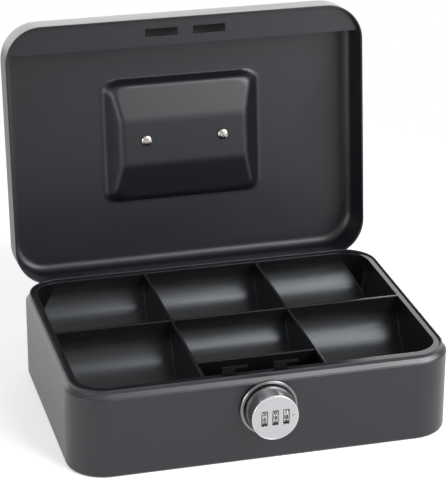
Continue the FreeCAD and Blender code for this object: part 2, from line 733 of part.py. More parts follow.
def make_coin_tray():
    side, front, back = tray_limits()
    half_divider = "divider / 2"
    column = "(column_pitch / 2)"
    back_row = ("(row_split + %s)" % half_divider, back)
    front_row = (front, "(row_split - %s)" % half_divider)
    short_row = ("(%s + pocket_depth + tray_wall)" % front, "(row_split - %s)" % half_divider)
    left = ("-" + side, "(-%s - %s)" % (column, half_divider))
    middle = ("(-%s + %s)" % (column, half_divider), "(%s - %s)" % (column, half_divider))
    right = ("(%s + %s)" % (column, half_divider), side)
    rooms = [
        ("back_left", left, back_row),
        ("back_middle", middle, back_row),
        ("back_right", right, back_row),
        ("front_left", left, front_row),
        ("front_middle", middle, short_row),
        ("front_right", right, front_row),
    ]
    outer = []
    for name, x, y in rooms:
        walls = ("%s - tray_wall" % x[0], "%s + tray_wall" % x[1])
        outer.append(trough("tray_hull_" + name, walls, y, "tray_wall"))
    width = "2 * %s" % side
    depth = "(%s - %s)" % (back, front)
    centre = "((%s + %s) / 2)" % (back, front)
    bend = "(corner_radius - neck_inset - sheet_gauge - tray_gap - tray_back_flange)"
    hull = rounded_prism("tray_hull_outline", width + " + 2 * tray_wall", depth + " + 2 * tray_wall",
                         bend + " + tray_wall", "sheet_gauge", TRAY_TOP + " - sheet_gauge", centre)
    body = shared("tray_body", [joined("tray_hulls", outer), hull])
    flange = rounded_prism("tray_flange_plate", "2 * (box_width / 2 - neck_inset - sheet_gauge - tray_gap)",
                           "2 * (box_depth / 2 - neck_inset - sheet_gauge - tray_gap)",
                           "corner_radius - neck_inset - sheet_gauge - tray_gap",
                           TRAY_TOP + " - tray_flange", "tray_flange")
    inner = [trough("tray_room_" + name, x, y, "0") for name, x, y in rooms]
    room_outline = rounded_prism("tray_room_outline", width, depth, bend, "0", "2 * " + TRAY_TOP, centre)
    rooms_cut = shared("tray_rooms", [joined("tray_troughs", inner), room_outline])
    pocket = block("tray_pocket", middle, (front, "%s + pocket_depth" % front), ("0", "2 * " + TRAY_TOP))
    tray = cut_from("coin_tray", joined("tray_solid", [body, flange]), [rooms_cut, pocket])
    node(tray, "coin_tray")


def make_tray_clips():
    """Four bent clips on the side walls; their top edges carry the tray's flange."""
    clips = []
    rest = "(%s - tray_flange - seat_gap)" % TRAY_TOP
    inner = "(%s + tray_wall + running_gap)" % tray_limits()[0]
    wall = "(box_width / 2 - sheet_gauge)"
    for side, sign in side_names():
        for end, step in (("front", "-1"), ("back", "1")):
            middle = "(%s * clip_pitch / 2)" % step
            y = (middle + " - clip_width / 2", middle + " + clip_width / 2")
            name = "clip_%s_%s_" % (side, end)
            upright = block(name + "upright", mirrored(side, inner, "(%s + clip_gauge)" % inner), y,
                            (rest + " - clip_drop", rest))
            web = block(name + "web", mirrored(side, inner, wall), y,
                        (rest + " - clip_drop - clip_gauge", rest + " - clip_drop"))
            leg = block(name + "leg", mirrored(side, "(%s - clip_gauge)" % wall, wall), y,
                        (rest + " - clip_drop - clip_leg", rest + " - clip_drop"))
            clips.append(joined(name + "bent", [upright, web, leg]))
    node(grouped("tray_clips", clips), "tray_clips")


# Lock housing, washer and nut, fixed in the front wall

def make_lock_housing():
    seat_front = "(%s - seat_thick)" % FRONT
    flange_front = "(%s - seat_thick - flange_thick)" % FRONT
    barrel_back = "(%s + barrel_length)" % FRONT
    lip = "(flange_radius - flange_lip)"
    bore = "(shaft_radius + shaft_gap)"
    housing = turned("lock_housing", [
        (barrel_back, bore),
        (barrel_back, "barrel_radius"),
        (FRONT, "barrel_radius"),
        (FRONT, "seat_radius"),
        (seat_front, "seat_radius"),
        (seat_front, "flange_radius"),
        (flange_front + " + knob_bevel", "flange_radius"),
        (flange_front, "flange_radius - knob_bevel"),
        (flange_front, lip),
        (flange_front + " + flange_sink", lip),
        (flange_front + " + flange_sink", bore),
    ])
    node(housing, "lock_housing")


def make_lock_washer():
    outer = rod("washer_disc", ALONG_Y, "washer_radius", "washer_thick", "0", FRONT_INSIDE, "lock_z")
    hole = rod("washer_hole", ALONG_Y, "barrel_radius", "3 * washer_thick", "0",
               FRONT_INSIDE + " - washer_thick", "lock_z")
    node(cut_from("lock_washer", outer, [hole]), "lock_washer")


def make_lock_nut():
    start = "(%s + washer_thick)" % FRONT_INSIDE
    hexagon = doc.addObject("Part::Prism", "nut_hexagon")
    hexagon.Polygon = 6
    hexagon.Placement = FreeCAD.Placement(FreeCAD.Vector(), ALONG_Y)
    bind(hexagon, Circumradius="nut_radius", Height="nut_thick")
    place(hexagon, "0", start, "lock_z")
    hole = rod("nut_hole", ALONG_Y, "barrel_radius", "3 * nut_thick", "0", start + " - nut_thick",
               "lock_z")
    node(cut_from("lock_nut", hexagon, [hole]), "lock_nut")


# Knob, face plate, number wheels and their axle and spring

def make_knob():
    knob = turned("knob_turning", [
        (KNOB_BACK, "0"),
        (KNOB_BACK, "knob_base_radius - knob_bevel"),
        (KNOB_BACK + " - knob_bevel", "knob_base_radius"),
        (KNOB_FRONT + " + knob_bevel", "knob_face_radius"),
        (KNOB_FRONT, "knob_face_radius - knob_bevel / 2"),
        (KNOB_FRONT, "face_radius"),
        (KNOB_FRONT + " + face_thick", "face_radius"),
        (KNOB_FRONT + " + face_thick", "knob_bore_radius"),
        (KNOB_BACK + " - knob_wall", "knob_bore_radius"),
        (KNOB_BACK + " - knob_wall", "0"),
    ])
    half = "(knob_bore_radius + axle_seat)"
    axle_hole = rod("knob_axle_hole", ALONG_X, "axle_radius", "2 * " + half, "-" + half, WHEEL_Y,
                    "lock_z")
    node(cut_from("lock_knob", knob, [axle_hole]), "lock_knob")


def make_face_plate():
    disc = rod("face_disc", ALONG_Y, "face_radius", "face_thick", "0", KNOB_FRONT, "lock_z")
    windows = []
    for name, step in window_names():
        middle = "(%s * wheel_pitch)" % step
        windows.append(block("face_window_" + name,
                             (middle + " - window_width / 2", middle + " + window_width / 2"),
                             (KNOB_FRONT + " - face_thick", KNOB_FRONT + " + 2 * face_thick"),
                             ("lock_z - window_height / 2", "lock_z + window_height / 2")))
    node(cut_from("knob_face_plate", disc, windows), "knob_face_plate")


def make_number_wheels():
    for name, step in window_names():
        start = "(%s * wheel_pitch - wheel_width / 2)" % step
        disc = rod("wheel_disc_" + name, ALONG_X, "wheel_radius", "wheel_width", start, WHEEL_Y,
                   "lock_z")
        hole = rod("wheel_hole_" + name, ALONG_X, "axle_radius + axle_gap", "3 * wheel_width",
                   start + " - wheel_width", WHEEL_Y, "lock_z")
        node(cut_from("number_wheel_" + name, disc, [hole]), "number_wheel_" + name)


def make_wheel_axle():
    half = "(knob_bore_radius + axle_seat)"
    axle = rod("wheel_axle", ALONG_X, "axle_radius", "2 * " + half, "-" + half, WHEEL_Y, "lock_z")
    node(axle, "wheel_axle")


def make_detent_spring():
    """A strip under the wheels, held by the knob's back wall, with a finger for each wheel."""
    under = "(lock_z - wheel_radius - spring_gap)"
    foot = "(%s - knob_wall)" % KNOB_BACK
    half = "(wheel_pitch + wheel_width / 2)"
    pieces = [block("spring_strip", ("-" + half, half), ("%s - spring_gauge" % WHEEL_Y, foot),
                    (under + " - spring_stand - spring_gauge", under + " - spring_stand"))]
    for name, step in window_names():
        middle = "(%s * wheel_pitch)" % step
        pieces.append(block("spring_finger_" + name,
                            (middle + " - wheel_width / 4", middle + " + wheel_width / 4"),
                            (WHEEL_Y + " - spring_gauge", WHEEL_Y + " + spring_gauge"),
                            (under + " - spring_stand - spring_gauge", under)))
    node(joined("detent_spring", pieces), "detent_spring")


# Shaft, cam and screw that turn with the knob behind the wall

def make_drive_shaft():
    shaft = rod("shaft_bar", ALONG_Y, "shaft_radius", "%s - %s" % (CAM_Y, KNOB_BACK), "0", KNOB_BACK,
                "lock_z")
    tenon = rod("shaft_tenon", ALONG_Y, "tenon_radius", "cam_gauge", "0", CAM_Y, "lock_z")
    hole = rod("shaft_hole", ALONG_Y, "cam_screw_radius", "cam_screw_length + cam_gauge", "0",
               CAM_Y + " + cam_gauge - cam_screw_length", "lock_z")
    node(cut_from("drive_shaft", joined("shaft_solid", [shaft, tenon]), [hole]), "drive_shaft")


def make_cam_arm():
    """Drawn upright, then turned back by half the knob's throw."""
    hub = rod("cam_hub", ALONG_Y, "cam_hub_radius", "cam_gauge", "0", CAM_Y, "0")
    arm = block("cam_bar", ("-cam_tip_radius", "cam_tip_radius"), (CAM_Y, CAM_Y + " + cam_gauge"),
                ("0", "cam_radius"))
    tip = rod("cam_tip", ALONG_Y, "cam_tip_radius", "cam_gauge", "0", CAM_Y, "cam_radius")
    pin = rod("cam_pin", ALONG_Y, "cam_pin_radius", "cam_gap + slide_gauge + cam_gauge", "0",
              "%s - cam_gap - slide_gauge" % CAM_Y, "cam_radius")
    hole = rod("cam_hole", ALONG_Y, "tenon_radius", "3 * cam_gauge", "0", CAM_Y + " - cam_gauge", "0")
    cam = cut_from("cam_arm", joined("cam_solid", [hub, arm, tip, pin]), [hole])
    turn = FreeCAD.Rotation(FreeCAD.Vector(0, -1, 0), value("knob_throw / 2"))
    cam.Placement = FreeCAD.Placement(FreeCAD.Vector(), turn)
    cam.setExpression("Placement.Rotation.Angle", linked("knob_throw / 2"))
    place(cam, "0", "0", "lock_z")
    node(cam, "cam_arm")


def make_cam_screw():
    head = rod("cam_screw_head", ALONG_Y, "cam_head_radius", "cam_head_height", "0",
               CAM_Y + " + cam_gauge", "lock_z")
    shank = rod("cam_screw_shank", ALONG_Y, "cam_screw_radius", "cam_screw_length", "0",
                CAM_Y + " + cam_gauge - cam_screw_length", "lock_z")
    node(joined("cam_screw", [head, shank]), "cam_screw")


# Latch slide with two hooks, and the case that guides it

def make_latch_slide():
    y = (SLIDE_Y, SLIDE_Y + " + slide_gauge")
    pieces = [block("slide_plate", ("-slide_left", "slide_right"), y, ("slide_foot", "slide_head"))]
    toe_low = "(%s + hook_lift)" % STRIP_HIGH
    toe_high = "(%s + hook_lift + hook_gauge)" % STRIP_HIGH
    for side, sign in side_names():
        stem = "(%s * slot_pitch / 2 - slot_length / 2 + hook_inset)" % sign
        pieces.append(block("hook_stem_" + side, (stem, stem + " + hook_stem"), y,
                            ("slide_head - hook_stem", toe_high)))
        pieces.append(block("hook_toe_" + side, (stem, stem + " + hook_stem + hook_toe"), y,
                            (toe_low, toe_high)))
    cam_x = "(-cam_radius * sin(knob_throw / 2))"
    cam_low = "(lock_z + cam_radius * cos(knob_throw / 2) - cam_pin_radius - running_gap)"
    cam_high = "(lock_z + cam_radius + cam_pin_radius + running_gap)"
    through = (SLIDE_Y + " - slide_gauge", SLIDE_Y + " + 2 * slide_gauge")
    pin_room = "(cam_pin_radius + guide_gap)"
    openings = [block("slide_cam_slot", ("%s - %s" % (cam_x, pin_room), "%s + %s" % (cam_x, pin_room)),
                      through, (cam_low, cam_high))]
    shaft_room = "(shaft_radius + running_gap)"
    openings.append(block("slide_shaft_slot", ("-%s - %s" % (THROW, shaft_room), shaft_room), through,
                          ("lock_z - " + shaft_room, "lock_z + " + shaft_room)))
    guide_room = "(guide_radius + guide_gap)"
    for side, sign in side_names():
        guide = "(%s * guide_pitch / 2)" % sign
        along = ("%s - %s - %s" % (guide, THROW, guide_room), "%s + %s" % (guide, guide_room))
        openings.append(block("slide_guide_slot_" + side, along, through,
                              ("guide_z - " + guide_room, "guide_z + " + guide_room)))
    node(cut_from("latch_slide", joined("slide_solid", pieces), openings), "latch_slide")


def make_lock_case():
    back = "(%s + case_depth)" % FRONT_INSIDE
    heights = ("case_bottom", "case_top")
    wide = "(case_half_width + case_gauge)"
    pieces = [block("case_back", ("-" + wide, wide), (back + " - case_gauge", back), heights)]
    for side, sign in side_names():
        pieces.append(block("case_wall_" + side, mirrored(side, "case_half_width", wide),
                            (FRONT_INSIDE, back), heights))
        foot = mirrored(side, "case_half_width", "(%s + case_foot)" % wide)
        pieces.append(block("case_foot_" + side, foot, (FRONT_INSIDE, FRONT_INSIDE + " + case_gauge"),
                            heights))
        pieces.append(rod("case_guide_" + side, ALONG_Y, "guide_radius",
                          "%s - %s + slide_gauge" % (back, SLIDE_Y), "%s * guide_pitch / 2" % sign,
                          "%s - slide_gauge" % SLIDE_Y, "guide_z"))
    node(joined("lock_case", pieces), "lock_case")


make_base_shell()
make_tray_clips()
make_base_leaf()
make_hinge_pin()
make_lid_shell()
make_latch_strip()
make_lid_leaf()
make_backing_strip()
make_handle_posts()
make_handle_screws()
make_carry_handle()
make_coin_tray()
make_lock_housing()
make_lock_washer()
make_lock_nut()
make_lock_case()
make_latch_slide()
make_knob()
make_face_plate()
make_wheel_axle()
make_detent_spring()
make_drive_shaft()
make_cam_arm()
make_cam_screw()
make_number_wheels()
doc.recompute()

# Check every object, then write one file for each node

for item in doc.Objects:
    if "Invalid" in item.State or "Error" in item.State:
        raise RuntimeError("%s did not build: %s" % (item.Name, item.State))
os.makedirs("parts", exist_ok=True)
for item in nodes:
    if item.Shape.isNull() or not item.Shape.isValid():
        raise RuntimeError("%s has no valid shape" % item.Label)
    item.Shape.exportStep("parts/%s.step" % item.Label)
    print("%-22s solids %d  volume %.0f" % (item.Label, len(item.Shape.Solids), item.Shape.Volume))
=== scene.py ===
import json
import math

import bmesh
import bpy
from mathutils import Matrix, Vector


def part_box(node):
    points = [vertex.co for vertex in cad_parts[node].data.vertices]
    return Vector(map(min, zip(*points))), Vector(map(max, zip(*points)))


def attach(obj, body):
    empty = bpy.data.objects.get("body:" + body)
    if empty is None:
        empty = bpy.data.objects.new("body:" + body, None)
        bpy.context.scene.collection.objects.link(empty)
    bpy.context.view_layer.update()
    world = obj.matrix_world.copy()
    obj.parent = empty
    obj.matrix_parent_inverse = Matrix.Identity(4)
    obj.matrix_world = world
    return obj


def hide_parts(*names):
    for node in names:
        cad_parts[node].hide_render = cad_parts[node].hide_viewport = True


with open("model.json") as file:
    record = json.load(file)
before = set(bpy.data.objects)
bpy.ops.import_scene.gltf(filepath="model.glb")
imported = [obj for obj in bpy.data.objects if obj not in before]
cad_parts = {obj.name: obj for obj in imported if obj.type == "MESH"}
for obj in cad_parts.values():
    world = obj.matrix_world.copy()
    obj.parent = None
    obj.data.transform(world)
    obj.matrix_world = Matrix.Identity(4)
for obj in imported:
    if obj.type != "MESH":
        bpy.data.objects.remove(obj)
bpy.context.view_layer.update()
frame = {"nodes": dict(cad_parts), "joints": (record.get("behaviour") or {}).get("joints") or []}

# Looks for the cash box: materials for the CAD pieces, a dressed lid, screws and number wheels, a mark on
# the knob's face, a white studio and the camera.  Everything is in metres, in the frame of the CAD.

nodes = frame["nodes"]

MM = 0.001


def joint_named(name):
    return next(joint for joint in frame["joints"] if joint["name"] == name)


# Node helpers

NOISE_LOW = 0.3
NOISE_HIGH = 0.7
BEVEL_SAMPLES = 6
WHITE = (1.0, 1.0, 1.0, 1.0)


def shade(colour, factor):
    return tuple(channel * factor for channel in colour)


class Painter:
    """Builds one node material around its principled shader."""

    def __init__(self, name):
        self.material = bpy.data.materials.new(name)
        self.material.use_nodes = True
        self.tree = self.material.node_tree
        self.shader = self.tree.nodes["Principled BSDF"]
        self.place = self.add("ShaderNodeTexCoord").outputs["Object"]

    def add(self, kind, **settings):
        node = self.tree.nodes.new(kind)
        for key, setting in settings.items():
            setattr(node, key, setting)
        return node

    def link(self, source, target):
        self.tree.links.new(source, target)

    def fixed(self, **values):
        """Sets constant values on the shader's own sockets."""
        for key, setting in values.items():
            self.shader.inputs[key.replace("_", " ")].default_value = setting

    def feed(self, **sources):
        """Links values from other nodes to the shader's sockets."""
        for key, source in sources.items():
            self.link(source, self.shader.inputs[key.replace("_", " ")])

    def axes(self):
        """The object's own coordinates as three values."""
        split = self.add("ShaderNodeSeparateXYZ")
        self.link(self.place, split.inputs["Vector"])
        return [split.outputs[axis] for axis in "XYZ"]

    def mapped(self, scale, shift=(0.0, 0.0, 0.0)):
        """The object's own coordinates, scaled and then shifted."""
        mapping = self.add("ShaderNodeMapping")
        mapping.inputs["Scale"].default_value = scale
        mapping.inputs["Location"].default_value = shift
        self.link(self.place, mapping.inputs["Vector"])
        return mapping.outputs["Vector"]

    def noise(self, scale, detail=2.0, roughness=0.5, stretch=None):
        """A noise over the object's own coordinates, scale in features per metre."""
        texture = self.add("ShaderNodeTexNoise")
        texture.inputs["Scale"].default_value = scale
        texture.inputs["Detail"].default_value = detail
        texture.inputs["Roughness"].default_value = roughness
        self.link(self.mapped(stretch) if stretch else self.place, texture.inputs["Vector"])
        return texture.outputs["Fac"]

    def calc(self, operation, first, second=None):
        """One step of arithmetic on a value, with a number or a second value where it takes two."""
        step = self.add("ShaderNodeMath", operation=operation)
        self.link(first, step.inputs[0])
        if isinstance(second, float):
            step.inputs[1].default_value = second
        elif second is not None:
            self.link(second, step.inputs[1])
        return step.outputs["Value"]

    def length(self, vector):
        measure = self.add("ShaderNodeVectorMath", operation="LENGTH")
        self.link(vector, measure.inputs[0])
        return measure.outputs["Value"]

    def between(self, source, start, end, low=0.0, high=1.0, smooth=False):
        """A value that goes from low to high while the source goes from start to end."""
        span = self.add("ShaderNodeMapRange", interpolation_type="SMOOTHSTEP" if smooth else "LINEAR")
        span.inputs["From Min"].default_value = start
        span.inputs["From Max"].default_value = end
        span.inputs["To Min"].default_value = low
        span.inputs["To Max"].default_value = high
        self.link(source, span.inputs["Value"])
        return span.outputs["Result"]

    def spread(self, source, low, high):
        """A noise value spread between two numbers."""
        return self.between(source, NOISE_LOW, NOISE_HIGH, low, high)

    def ramp(self, source, *stops):
        """A colour ramp between two (position, colour) stops."""
        ramp = self.add("ShaderNodeValToRGB")
        for element, (position, colour) in zip(ramp.color_ramp.elements, stops):
            element.position = position
            element.color = (*colour, 1.0)
        self.link(source, ramp.inputs["Fac"])
        return ramp.outputs["Color"]

    def mottled(self, source, colour, dark, light):
        """A colour that follows a noise between two shades of itself."""
        return self.ramp(source, (NOISE_LOW, shade(colour, dark)), (NOISE_HIGH, shade(colour, light)))

    def mixed(self, share, first, second):
        """From the first colour to the second by a share."""
        mix = self.add("ShaderNodeMix", data_type="RGBA")
        self.link(share, mix.inputs["Factor"])
        self.link(first, mix.inputs["A"])
        self.link(second, mix.inputs["B"])
        return mix.outputs["Result"]

    def rounded(self, radius):
        """The surface normal with edges rounded to a radius."""
        bevel = self.add("ShaderNodeBevel", samples=BEVEL_SAMPLES)
        bevel.inputs["Radius"].default_value = radius
        return bevel.outputs["Normal"]

    def flatness(self, radius):
        """1 on flats and less along edges, from how far a rounded normal leans."""
        geometry = self.add("ShaderNodeNewGeometry")
        dot = self.add("ShaderNodeVectorMath", operation="DOT_PRODUCT")
        self.link(self.rounded(radius), dot.inputs[0])
        self.link(geometry.outputs["Normal"], dot.inputs[1])
        return dot.outputs["Value"]

    def relief(self, source, strength, depth, normal):
        """A bump of some depth in metres on top of an earlier normal."""
        bump = self.add("ShaderNodeBump")
        bump.inputs["Strength"].default_value = strength
        bump.inputs["Distance"].default_value = depth
        self.link(source, bump.inputs["Height"])
        self.link(normal, bump.inputs["Normal"])
        return bump.outputs["Normal"]


# Materials

CHARCOAL = (0.0056, 0.0064, 0.0092)
TRAY_BLACK = (0.0045, 0.0047, 0.0053)
TRAY_GLEAM = (0.90, 0.95, 1.0, 1.0)
LATCH_BLACK = (0.0035, 0.0035, 0.004)
# Painted shade: near-black coat on the lid's inside behind the latch strip.
SHADE_BLACK = (0.005, 0.005, 0.006)
HANDLE_BLACK = (0.010, 0.010, 0.011)
CHROME = (0.62, 0.62, 0.64)
FLANGE_CHROME = (0.18, 0.18, 0.185)
FACE_SILVER = (0.37, 0.37, 0.38)
ZINC = (0.50, 0.50, 0.51)
NICKEL = (0.36, 0.345, 0.315)
WHEEL_CREAM = (0.40, 0.385, 0.355)
DIGIT_INK = (0.003, 0.003, 0.0035)
# Painted highlight: a lighter tone laid on the front shoulder of the base.
SHOULDER_HIGHLIGHT = (0.155, 0.155, 0.16)

NECK_HEIGHT = 2.6 * MM
SHOULDER_DEPTH = 2.8 * MM
HIGHLIGHT_HEIGHT = 2.1 * MM
HIGHLIGHT_FADE = 0.12 * MM
HIGHLIGHT_LEFT = 0.05

# Edges lightened partly as wear and partly as a painted highlight along every edge.
WEAR_SHEEN_RADIUS = 0.5 * MM
WEAR_SHEEN_DARK = 7.0
WEAR_SHEEN_LIGHT = 16.0
WEAR_SHEEN_NOISE_HIGH = 0.75
WEAR_SHEEN_SHARP = 0.78
WEAR_SHEEN_FLAT = 0.985
WEAR_SHEEN_MOST = (0.6, 0.6, 0.6)
WEAR_SHEEN_LEAST = (0.0, 0.0, 0.0)

LEAF_LENGTH = 158.0 * MM
KNUCKLES = 7
SPOT_RADIUS = 1.2 * MM
SPOT_EDGE = 2.2 * MM

LATHE_LINES = (0.05, 4.0, 0.05)
DRAWN_LINES = (1.0, 8.0, 8.0)
EVEN_GRAIN = (2.0, 2.0, 2.0)
FLOW_STREAKS = (0.06, 1.0, 1.0)
LONG_SWELLS = (0.3, 1.0, 1.0)

GROOVE_RADIUS = 17.0 * MM
GROOVE_EDGE = 0.05 * MM


def front_shoulder(paint):
    """Share of the painted highlight: rises from left to right along the front shoulder of the base, and is
    0 elsewhere.
    """
    low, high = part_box("base_shell")
    half = HIGHLIGHT_HEIGHT / 2
    x, y, z = paint.axes()
    off = paint.calc("ABSOLUTE", paint.calc("SUBTRACT", z, high[2] - NECK_HEIGHT - half))
    band = paint.between(off, half + HIGHLIGHT_FADE, half - HIGHLIGHT_FADE, smooth=True)
    front = paint.between(y, low[1] + 3 * SHOULDER_DEPTH, low[1] + SHOULDER_DEPTH, smooth=True)
    along = paint.between(x, low[0], high[0], low=HIGHLIGHT_LEFT)
    return paint.calc("MULTIPLY", paint.calc("MULTIPLY", along, band), front)


def powder_coat(name, colour, edge_radius, gloss, painted_highlight=False):
    """Satin powder coat: fine orange peel, faint mottling, edges lightened as wear and painted highlight,
    and optionally a painted highlight on the base's front shoulder.
    """
    paint = Painter(name)
    cloud = paint.mottled(paint.noise(scale=16.0, detail=3.0), colour, dark=0.93, light=1.07)
    # Edge tone: partly wear, partly painted highlight.
    wear_and_highlight = paint.ramp(paint.noise(scale=700.0, detail=3.0),
                        (NOISE_LOW, shade(colour, WEAR_SHEEN_DARK)), (WEAR_SHEEN_NOISE_HIGH, shade(colour, WEAR_SHEEN_LIGHT)))
    edge = paint.ramp(paint.flatness(WEAR_SHEEN_RADIUS), (WEAR_SHEEN_SHARP, WEAR_SHEEN_MOST), (WEAR_SHEEN_FLAT, WEAR_SHEEN_LEAST))
    coat = paint.mixed(edge, cloud, wear_and_highlight)
    # Painted highlight: a lighter tone on the base's front shoulder, rising from left to right.
    if painted_highlight:
        strokes = paint.noise(scale=60.0, detail=3.0, stretch=LONG_SWELLS)
        highlight_tone = paint.mottled(strokes, SHOULDER_HIGHLIGHT, dark=0.9, light=1.1)
        coat = paint.mixed(front_shoulder(paint), coat, highlight_tone)
    bends = paint.rounded(edge_radius)
    peel = paint.relief(paint.noise(scale=1500.0), strength=0.22, depth=0.06 * MM, normal=bends)
    grain = paint.relief(paint.noise(scale=5200.0, detail=1.0), strength=0.12, depth=0.03 * MM, normal=peel)
    paint.feed(Base_Color=coat, Normal=grain,
               Roughness=paint.spread(paint.noise(scale=2200.0), low=0.32, high=0.40))
    paint.fixed(Specular_IOR_Level=gloss)
    return paint.material


def welded_coat(name, colour):
    """A rougher coat over a strip that is spot welded at the middle of each hinge knuckle."""
    paint = Painter(name)
    x = paint.axes()[0]
    from_spot = paint.calc("PINGPONG", x, LEAF_LENGTH / KNUCKLES / 2)
    dimple = paint.between(from_spot, SPOT_RADIUS, SPOT_EDGE, smooth=True)
    dents = paint.relief(dimple, strength=0.35, depth=0.12 * MM, normal=paint.rounded(0.35 * MM))
    grain = paint.relief(paint.noise(scale=1700.0), strength=0.2, depth=0.05 * MM, normal=dents)
    cloud = paint.mottled(paint.noise(scale=20.0, detail=3.0), colour, dark=0.92, light=1.08)
    paint.feed(Base_Color=cloud, Normal=grain,
               Roughness=paint.spread(paint.noise(scale=2200.0), low=0.40, high=0.52))
    return paint.material


def matte_finish(name, colour, roughness, edge_radius, gloss=0.5):
    """A smooth finish with a fine matte grain, for plastics, ink, plain black coats and a black painted
    shade.
    """
    paint = Painter(name)
    bends = paint.rounded(edge_radius)
    grain = paint.relief(paint.noise(scale=3200.0), strength=0.25, depth=0.04 * MM, normal=bends)
    tone = paint.mottled(paint.noise(scale=30.0, detail=3.0), colour, dark=0.9, light=1.12)
    rough = paint.spread(paint.noise(scale=2600.0), low=roughness - 0.05, high=roughness + 0.05)
    paint.feed(Base_Color=tone, Roughness=rough, Normal=grain)
    paint.fixed(Specular_IOR_Level=gloss)
    return paint.material


def tray_moulding(name, colour):
    """Black moulded plastic with faint flow streaks along the troughs."""
    paint = Painter(name)
    waves = paint.noise(scale=70.0, stretch=LONG_SWELLS)
    swells = paint.relief(waves, strength=0.05, depth=0.4 * MM, normal=paint.rounded(0.7 * MM))
    grain = paint.relief(paint.noise(scale=3000.0), strength=0.16, depth=0.03 * MM, normal=swells)
    tone = paint.mottled(paint.noise(scale=30.0, detail=3.0), colour, dark=0.9, light=1.15)
    streaks = paint.noise(scale=260.0, detail=4.0, roughness=0.6, stretch=FLOW_STREAKS)
    paint.feed(Base_Color=tone, Roughness=paint.spread(streaks, low=0.20, high=0.29), Normal=grain)
    paint.fixed(Specular_IOR_Level=0.33, Specular_Tint=TRAY_GLEAM)
    return paint.material


def grooved_chrome(name, colour, axis_place):
    """Chrome of the lock's flange, with the sunken ring around the knob painted black as painted shade."""
    paint = Painter(name)
    lines = paint.noise(scale=700.0, detail=3.0, roughness=0.6, stretch=LATHE_LINES)
    metal = paint.mottled(lines, colour, dark=0.94, light=1.04)
    # Painted shade: black, not metal, inside the groove radius.
    groove_shade = paint.mottled(paint.noise(scale=400.0), LATCH_BLACK, dark=1.0, light=1.6)
    centred = paint.mapped((1.0, 0.0, 1.0), shift=(-axis_place.x, 0.0, -axis_place.z))
    reach = paint.length(centred)
    outside = paint.between(reach, GROOVE_RADIUS - GROOVE_EDGE, GROOVE_RADIUS + GROOVE_EDGE)
    bends = paint.rounded(0.4 * MM)
    fine = paint.relief(paint.noise(scale=1800.0), strength=0.03, depth=0.01 * MM, normal=bends)
    paint.feed(Base_Color=paint.mixed(outside, groove_shade, metal), Metallic=outside,
               Roughness=paint.spread(lines, low=0.2, high=0.3), Normal=fine)
    return paint.material


def plated_metal(name, colour, roughness, stretch, edge_radius):
    """Plated metal with hair-fine polishing lines, or an even grain, by how its noise is stretched."""
    paint = Painter(name)
    lines = paint.noise(scale=700.0, detail=3.0, roughness=0.6, stretch=stretch)
    scratches = paint.noise(scale=1800.0, stretch=stretch)
    bends = paint.rounded(edge_radius)
    fine = paint.relief(scratches, strength=0.03, depth=0.01 * MM, normal=bends)
    rough = paint.spread(lines, low=roughness * 0.8, high=roughness * 1.2)
    paint.feed(Base_Color=paint.mottled(lines, colour, dark=0.95, light=1.03), Roughness=rough, Normal=fine)
    paint.fixed(Metallic=1.0)
    return paint.material


def satin_silver(name, colour):
    """Silver lacquer with a fine blasted grain."""
    paint = Painter(name)
    grain = paint.noise(scale=2400.0)
    fine = paint.relief(grain, strength=0.1, depth=0.02 * MM, normal=paint.rounded(0.3 * MM))
    paint.feed(Base_Color=paint.mottled(grain, colour, dark=0.95, light=1.04),
               Roughness=paint.spread(grain, low=0.34, high=0.44), Normal=fine)
    paint.fixed(Metallic=0.35)
    return paint.material


CASE_GLOSS = 0.47
LID_GLOSS = 0.39
HANDLE_GLOSS = 0.42

lock_axis = Vector(joint_named("knob_turn")["pos_m"])

case_paint = powder_coat("case_powder_coat", CHARCOAL, 0.7 * MM, CASE_GLOSS, painted_highlight=True)
lid_paint = powder_coat("lid_powder_coat", CHARCOAL, 2.6 * MM, LID_GLOSS)
recess_paint = powder_coat("recess_powder_coat", CHARCOAL, 0.6 * MM, LID_GLOSS)
strip_paint = powder_coat("strip_powder_coat", CHARCOAL, 0.3 * MM, LID_GLOSS)
handle_paint = powder_coat("handle_black", HANDLE_BLACK, 0.5 * MM, HANDLE_GLOSS)
hinge_paint = welded_coat("hinge_powder_coat", shade(CHARCOAL, 1.1))
# Black painted shade for the lid's inside behind the strip.
painted_shade_coat = matte_finish("lid_painted_shade_coat", SHADE_BLACK, roughness=0.6, edge_radius=0.3 * MM, gloss=0.4)
latch_paint = matte_finish("latch_black", LATCH_BLACK, roughness=0.85, edge_radius=0.3 * MM, gloss=0.12)
wheel_plastic = matte_finish("wheel_plastic", WHEEL_CREAM, roughness=0.38, edge_radius=0.15 * MM)
digit_ink = matte_finish("digit_ink", DIGIT_INK, roughness=0.5, edge_radius=0.05 * MM)
tray_plastic = tray_moulding("tray_plastic", TRAY_BLACK)
zinc = plated_metal("zinc_plate", ZINC, 0.32, DRAWN_LINES, edge_radius=0.2 * MM)
chrome = plated_metal("chrome_plate", CHROME, 0.2, LATHE_LINES, edge_radius=0.35 * MM)
nickel = plated_metal("nickel_plate", NICKEL, 0.2, EVEN_GRAIN, edge_radius=0.1 * MM)
flange_chrome = grooved_chrome("flange_chrome", FLANGE_CHROME, lock_axis)
face_silver = satin_silver("face_silver", FACE_SILVER)

